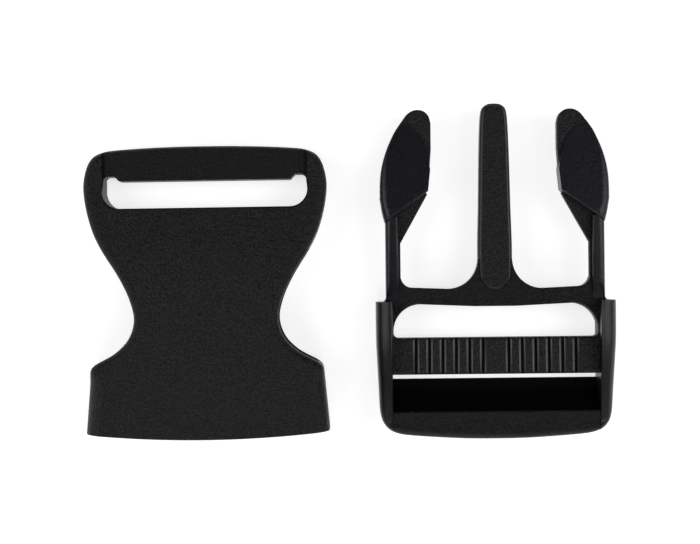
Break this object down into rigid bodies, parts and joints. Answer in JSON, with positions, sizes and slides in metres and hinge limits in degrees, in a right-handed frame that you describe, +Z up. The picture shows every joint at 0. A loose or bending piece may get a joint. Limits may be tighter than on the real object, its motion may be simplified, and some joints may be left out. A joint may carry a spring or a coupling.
{
  "type": "side release buckle",
  "caption": "Black plastic side release buckle for webbing, lying open: a waisted socket with a webbing bar beside a plug with two spring arms, a prong and a ribbed adjuster bar.",
  "frame": {"origin": "on the surface that both halves lie on, at the middle of the pair's box", "axes": "+X from the socket to the plug, +Y from the webbing end of the plug to its arm tips, +Z up out of the upper faces"},
  "size_m": [0.1024, 0.065, 0.0105],
  "materials": {
    "black_acetal": "moulded in black acetal: fine spark grain on the broad faces, smooth satin on the arm heads and rails"
  },
  "bodies": {
    "root": {"socket": "black_acetal", "plug": "black_acetal"}
  },
  "joints": []
}
